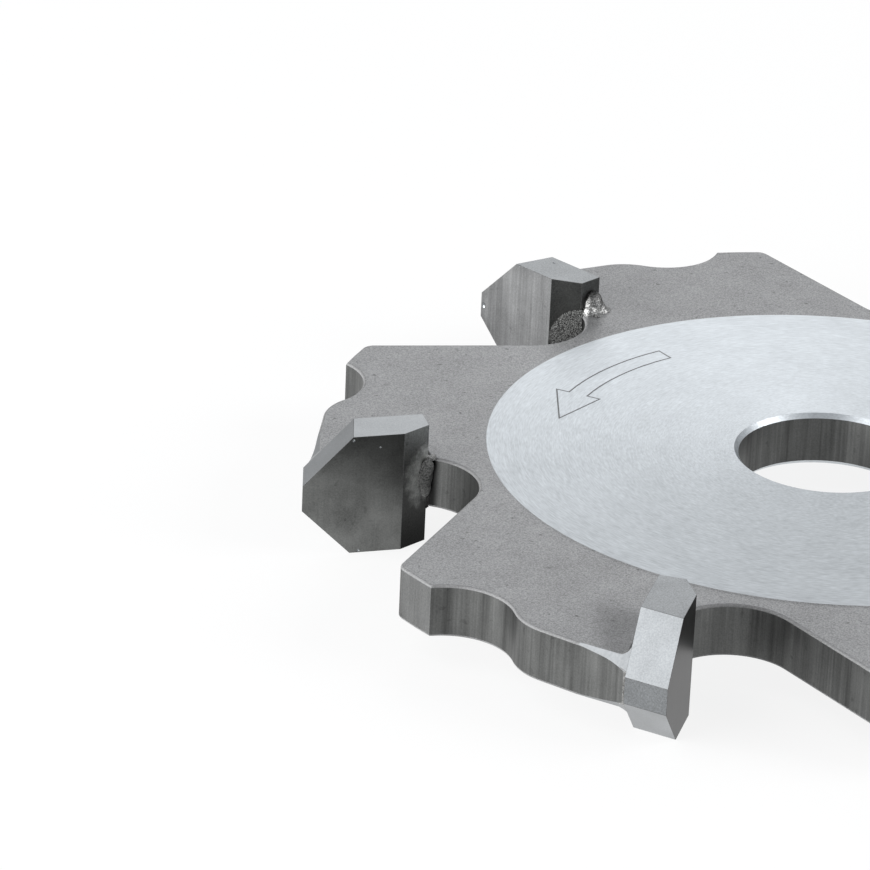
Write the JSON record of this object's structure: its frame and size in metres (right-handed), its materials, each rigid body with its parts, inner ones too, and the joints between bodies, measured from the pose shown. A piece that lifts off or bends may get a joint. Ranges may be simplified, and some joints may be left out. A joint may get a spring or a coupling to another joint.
{
  "type": "slotting cutter",
  "caption": "Flat steel disc cutter with brazed carbide tips that mill a 90 degree V groove, with chip gullets, chip limiting scallops and a plain bore.",
  "frame": {"origin": "on the bore's axis, half way through the disc's thickness", "axes": "+Z is the cutter's axis; +X points at the cutting point of the first tooth, which cuts towards +Y"},
  "size_m": [0.118, 0.1146, 0.014],
  "materials": {
    "blasted_steel": "sandblasted, matte, with a fine turned clamping face",
    "carbide": "ground, satin",
    "silver_braze": "bright, as it set"
  },
  "bodies": {
    "root": {"cutter_disc": "blasted_steel", "carbide_tip_1": "carbide", "carbide_tip_2": "carbide", "carbide_tip_3": "carbide", "carbide_tip_4": "carbide", "carbide_tip_5": "carbide", "carbide_tip_6": "carbide", "braze_joint_1": "silver_braze", "braze_joint_2": "silver_braze", "braze_joint_3": "silver_braze", "braze_joint_4": "silver_braze", "braze_joint_5": "silver_braze", "braze_joint_6": "silver_braze"}
  },
  "joints": []
}
